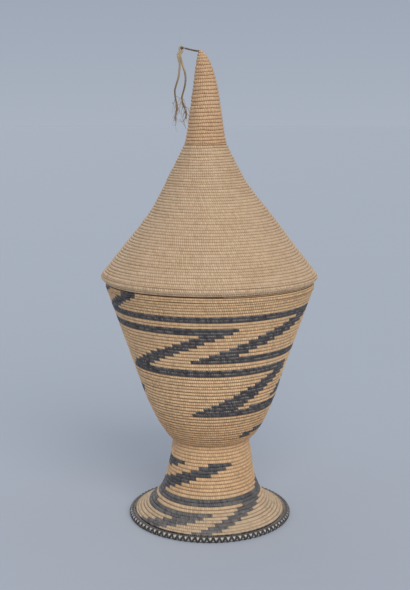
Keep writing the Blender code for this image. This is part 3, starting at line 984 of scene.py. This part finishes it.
def make_tassel():
    """The starting bundle's wiry end, the knot on it and the two strands."""
    stem = string_material("stem_fibre", STEM, STEM_LIGHT, STEM_DARK, 0.2)
    string = string_material("tassel_string", STRING, STRING_LIGHT, STRING_DARK, 0.35,
                             (*STRING_AGEING, STRING_AGED))
    hair = string_material("frayed_string", FRAYED, FRAYED_LIGHT, STRING_DARK, 0.1)
    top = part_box("lid_spire")[1].z
    heights = [top - BUNDLE_DEPTH * (1 - step / 4) for step in range(5)]
    inside = [Vector((lid_lean(height), 0.0, height)) for height in heights]
    outside = route_from(inside[-1], BUNDLE_ROUTE)
    knot_middle = outside[-1] + Vector((-EDGE_GAP - KNOT_WIDTH / 2, 0.0, 0.0))

    under_knot = knot_middle + Vector((0.0, 0.0, -KNOT_HEIGHT / 2 - EDGE_GAP))
    left = route_from(under_knot, LEFT_STRAND_ROUTE)
    right = route_from(under_knot - Vector((0.0, 0.0, RIGHT_STRAND_DROP)), RIGHT_STRAND_ROUTE)
    make_strand("tassel_cord_left", left, 21, string, hair, "tassel_strand_left")
    make_strand("tassel_cord_right", right, 22, string, hair, "tassel_strand_right")

    line = smooth_route(inside + outside, 0.00025)
    tubes = Tubes("starting_bundle_wires")
    for wire in range(BUNDLE_WIRES):
        path = twisted(line, wire, BUNDLE_WIRES, PLY_OFFSET, BUNDLE_TWIST)
        add_round_tube(tubes, path, BUNDLE_WIRE_RADIUS, 7)
    dress(tubes.build([stem]), "lid", "stem_fibre", "starting_bundle")

    tubes = Tubes("knot")
    turns = np.linspace(0.0, 1.0, 150)
    angle = 2 * math.pi * KNOT_TURNS * turns
    across = -0.0006 + 0.0017 * turns + 0.0002 * np.sin(angle * 0.5)
    winding = np.stack((across, 0.00052 * np.cos(angle), 0.00055 * np.sin(angle)), axis=1)
    add_round_tube(tubes, winding + np.array(knot_middle), KNOT_WINDING_RADIUS, 8)
    dress(tubes.build([stem]), "lid", "string", "tassel_knot")
    tubes = Tubes("knot_loop")
    for side in (-1, 1):
        loop = route_from(knot_middle, (
            (0.3 * side, 0.4 * side, 1.3),
            (-0.9 + 0.4 * side, 0.6 * side, 0.4),
            (-0.7 + 0.7 * side, 0.4 * side, -1.0),
        ))
        loop += route_from((left if side < 0 else right)[0], [(0.0, 0.0, -0.6)])
        add_round_tube(tubes, smooth_route(loop, 0.0002), KNOT_LOOP_RADIUS, 8)
    dress(tubes.build([string]), "lid", "string", "tassel_knot")


# Pieces of the basket.


def make_foot(straw, faded):
    wind("foot_coil", foot_outline(), FOOT_ROW, [straw, faded], "basket", "foot_skirt", "foot_straw", 3,
         FOOT_FIRST_TURN, spans=stripe_spans(FOOT_STRIPES), lean=neck_lean, pieces=2, dyed_below=True)
    low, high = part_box("foot_lashing")
    half = (high.z - low.z) / 2
    ring_coil("foot_top_sewing", high.x - half, (high.z + low.z) / 2, half, [straw], "basket", "foot_lashing",
              "foot_straw", 5, across=neck_lean(high.z))


def make_bound_edge(edge_dyed, cream, dyed):
    """The outermost coil: dark, with cream round its outer side and a black zigzag over the cream."""
    low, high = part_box("foot_bound_edge")
    half = (high.z - low.z) / 2
    radius = high.x - half - EDGE_STRIP_THICKNESS * 0.2
    core_half = half - EDGE_STRIP_THICKNESS * 0.3
    finish = np.zeros(EDGE_SIDES, int)
    finish[EDGE_CREAM_SIDES] = 1
    # The sides below the cream are black: the black lashing, and painted shade under the edge.
    finish[EDGE_UNDER_SIDES] = 2
    ring_coil("bound_edge_core", radius, core_half, core_half, [edge_dyed, cream, dyed], "basket",
              "foot_bound_edge", "edge_lashing", 6, EDGE_SIDES, finish)
    random = np.random.default_rng(7)
    tubes = Tubes("bound_edge_zigzag")
    steps = np.linspace(0.0, 1.0, 11)
    chevron = 2 * math.pi / EDGE_CHEVRONS
    around = np.arange(EDGE_STRIP_SIDES + 1) / EDGE_STRIP_SIDES
    angle = 2 * math.pi * around[:-1, None]
    flat, proud = np.cos(angle) * EDGE_STRIP_WIDTH / 2, np.sin(angle) * EDGE_STRIP_THICKNESS / 2
    for number in range(EDGE_CHEVRONS):
        for leg in range(2):
            start = number * chevron + random.normal(0.0, EDGE_JITTER) * chevron
            round_angle = start + chevron * 0.5 * (leg + steps)
            rise = steps if leg == 0 else 1 - steps
            place = EDGE_STRIP_BOTTOM + (EDGE_STRIP_TOP - EDGE_STRIP_BOTTOM) * rise
            out, up = np.cos(place), np.sin(place)
            reach = core_half + EDGE_STRIP_THICKNESS * 0.25 + EDGE_CROSSING * leg
            middle = round_axis(radius + reach * out, round_angle, core_half + reach * up)
            outward = round_axis(out, round_angle, up)
            across = np.cross(unit(np.gradient(middle, axis=0)), outward)
            rings = middle[:, None, :] + across[:, None, :] * flat + outward[:, None, :] * proud
            tubes.add(rings, number * 2 + leg + 0.35 + 0.3 * steps, around, 0)
    dress(tubes.build([dyed]), "basket", "dark_strip", "foot_bound_edge")


# Widths of rows at distances down an outline, both in millimetres, fitted to the photo's rows.


def hump(distance, middle, spread):
    return np.exp(-(((distance - middle) / spread) ** 2))


def bowl_row(distance):
    steady = 2.2687 - 0.0001114 * (distance - 63.0) ** 2
    return steady + 0.1 * hump(distance, 27.0, 14.0) + 0.025 * (distance > 40.0)


def cone_row(distance):
    return 2.06 - 0.3 * hump(distance, 21.0, 13.0)


def spire_row(distance):
    return 2.0 + 0.3 * np.sin(math.pi * distance / distance[-1])


def spire_wall(radius):
    return np.clip(radius - SPIRE_BORE_RADIUS, SPIRE_LEAST_WALL, WALL)


def make_bowl(straw, dyed):
    spans = stripe_spans(BOWL_STRIPES)
    wind("bowl_coil", bowl_outline(), bowl_row, [straw, dyed], "basket", "bowl_wall", "bowl_straw", 8,
         BOWL_FIRST_TURN, spans=spans, lean=neck_lean, pieces=5)
    low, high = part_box("bowl_floor")
    floor = Outline([(0.0, high.z), (high.x, high.z)])
    wind("bowl_floor_coil", floor, BOWL_FLOOR_ROW, [straw], "basket", "bowl_floor", "bowl_straw", 9,
         lean=neck_lean)
    low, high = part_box("bowl_rim_coil")
    rim = Outline([(high.x, high.z), (high.x, low.z)])
    wind("bowl_rim", rim, RIM_ROW, [straw, dyed], "basket", "bowl_rim_coil", "bowl_straw", 10,
         RIM_FIRST_TURN, spans=spans)
    wind("bowl_collar_coil", collar_outline(), COLLAR_ROW, [straw], "basket", "bowl_collar", "bowl_straw", 11,
         wall=COLLAR_WALL)


def make_lid(straw, lip_straw, warm):
    wind("lid_lip_coil", lip_outline(), LIP_ROW, [lip_straw], "lid", "lid_lip", "lid_straw", 12,
         wall=LIP_WALL, lean=lid_lean)
    wind("lid_cone_coil", cone_outline(), cone_row, [straw], "lid", "lid_cone", "lid_straw", 13,
         lean=lid_lean, pieces=4)
    wind("lid_spire_coil", spire_outline(), spire_row, [warm], "lid", "lid_spire", "lid_straw", 14,
         wall=spire_wall, lean=lid_lean, unevenness=SPIRE_ROW_UNEVENNESS)


make_camera()
make_tassel()
lid_straw = straw_material("lid_straw_strip", LID_STRAW, valley_soil=0.42, groove_reach=0.68, ridge=0.18)
lip_straw = straw_material("lid_lip_strip", LID_STRAW, valley_soil=0.62, groove_depth=0.3, groove_reach=0.8,
                           ridge=0.75)
bowl_straw = straw_material("bowl_straw_strip", BOWL_STRAW, tint=0.8, soil=1.0, valley_soil=0.74,
                            groove_depth=0.3, groove_reach=0.86, ridge=0.75,
                            weather=((0.15, 0.11, BOWL_MIDDLE_TONE), (0.08, 0.06, BOWL_FOOT_TONE)),
                            soil_rise=(0.135, 0.08, 0.05))
spire_straw = straw_material("spire_straw_strip", SPIRE_STRAW, soil=0.92, groove_reach=0.74, ridge=0.18)
# The foot's flare takes a painted bluish cast of the light from above.
foot_straw = straw_material("foot_straw_strip", FOOT_STRAW, tint=0.8, soil=0.9, groove_reach=0.76,
                            ridge=0.5, weather=((0.026, 0.01, FOOT_FLARE_TONE),))
dyed = wrapped_material("dyed_strip", CHARCOAL, CHARCOAL_LIGHT, CHARCOAL_DARK, CHARCOAL_GROOVE, 0.45, 1.0,
                        valley_soil=0.8, groove_reach=0.8, worn=0.22, glints=0.8)
faded = wrapped_material("faded_dyed_strip", FADED, FADED_LIGHT, CHARCOAL, CHARCOAL_GROOVE, 0.5, 0.9,
                         valley_soil=0.7, groove_reach=0.78, worn=0.2, glints=0.5,
                         weather=((0.012, 0.028, FOOT_STEM_TONE),))
edge_dyed = wrapped_material("edge_dyed_strip", EDGE_DARK, EDGE_DARK_LIGHT, CHARCOAL_LIGHT, EDGE_GROOVE,
                             0.55, 1.0, valley_soil=0.6, worn=0.3)
cream = wrapped_material("cream_strip", CREAM, CREAM_LIGHT, CREAM_DARK, GROOVE_BROWN)
make_foot(foot_straw, faded)
make_bound_edge(edge_dyed, cream, dyed)
make_bowl(bowl_straw, dyed)
make_lid(lid_straw, lip_straw, spire_straw)
make_stage()
make_light()
